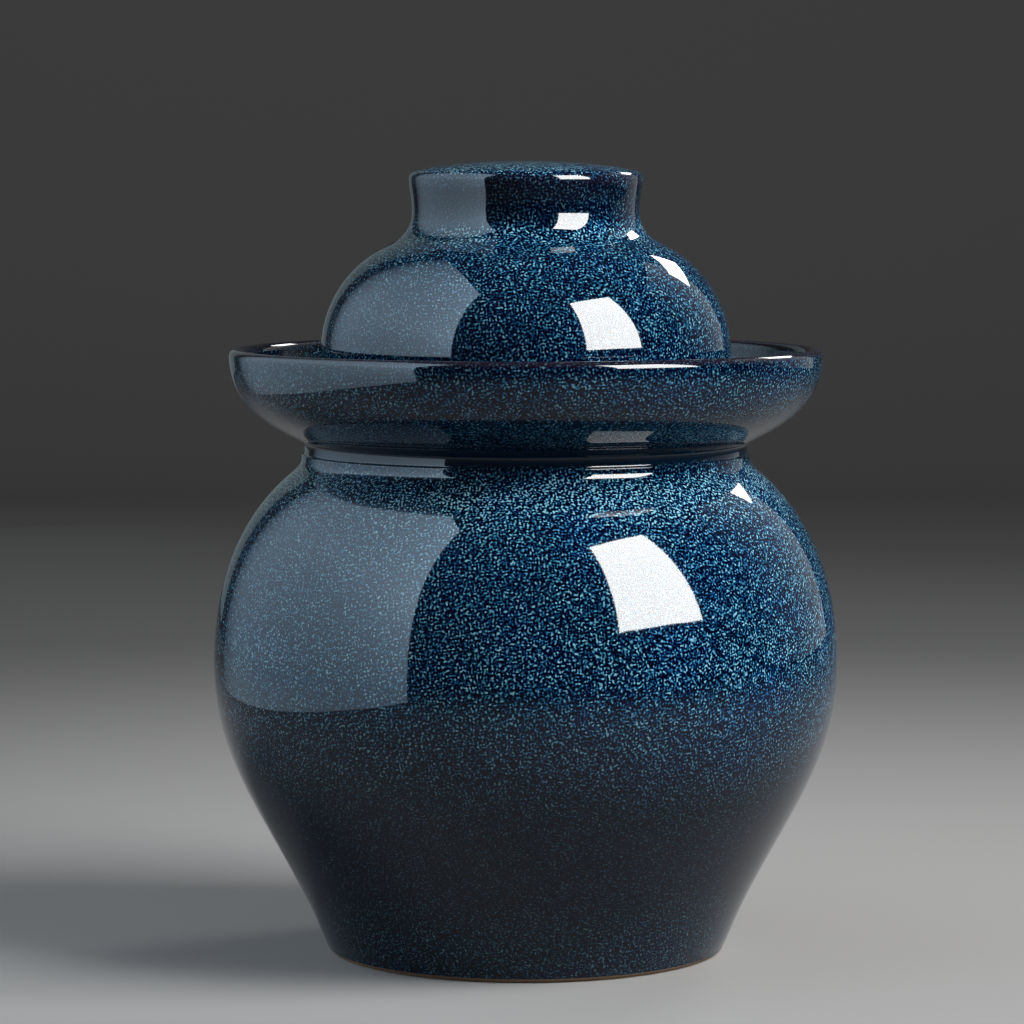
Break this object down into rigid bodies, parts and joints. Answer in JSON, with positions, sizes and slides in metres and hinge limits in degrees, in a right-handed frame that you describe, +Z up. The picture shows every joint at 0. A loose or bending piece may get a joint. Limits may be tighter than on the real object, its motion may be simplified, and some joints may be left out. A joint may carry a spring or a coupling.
{
  "type": "water seal pickle jar",
  "caption": "Bellied stoneware pickle jar with a water moat round its neck, a small inner lid on the mouth and a domed outer lid with a hollow knob standing in the moat.",
  "frame": {"origin": "centre of the foot, on the table", "axes": "+Z up along the jar's axis of revolution; X and Y level, with no front of their own"},
  "size_m": [0.25, 0.25, 0.3157],
  "materials": {
    "jar_glaze": "gloss, deep blue glaze with fine pale specks, bare clay under the foot and on the mouth's lip",
    "lid_glaze": "gloss, deep blue glaze with fine pale specks, bare clay on the skirt's foot",
    "inner_lid_glaze": "gloss, deep blue glaze on top, bare clay underneath"
  },
  "bodies": {
    "jar": {"jar_body": "jar_glaze", "moat_collar": "jar_glaze"},
    "outer_lid": {"outer_lid": "lid_glaze"},
    "inner_lid": {"inner_lid": "inner_lid_glaze"}
  },
  "joints": [
    {"name": "outer_lid_lift", "type": "slide", "parent": "jar", "child": "outer_lid", "axis": [0, 0, 1], "range_m": [0, 0.15]},
    {"name": "inner_lid_lift", "type": "slide", "parent": "jar", "child": "inner_lid", "axis": [0, 0, 1], "range_m": [0, 0.0675]}
  ],
  "couplings": [
    {"joint": "inner_lid_lift", "follows": "outer_lid_lift", "ratio": 0.45}
  ]
}
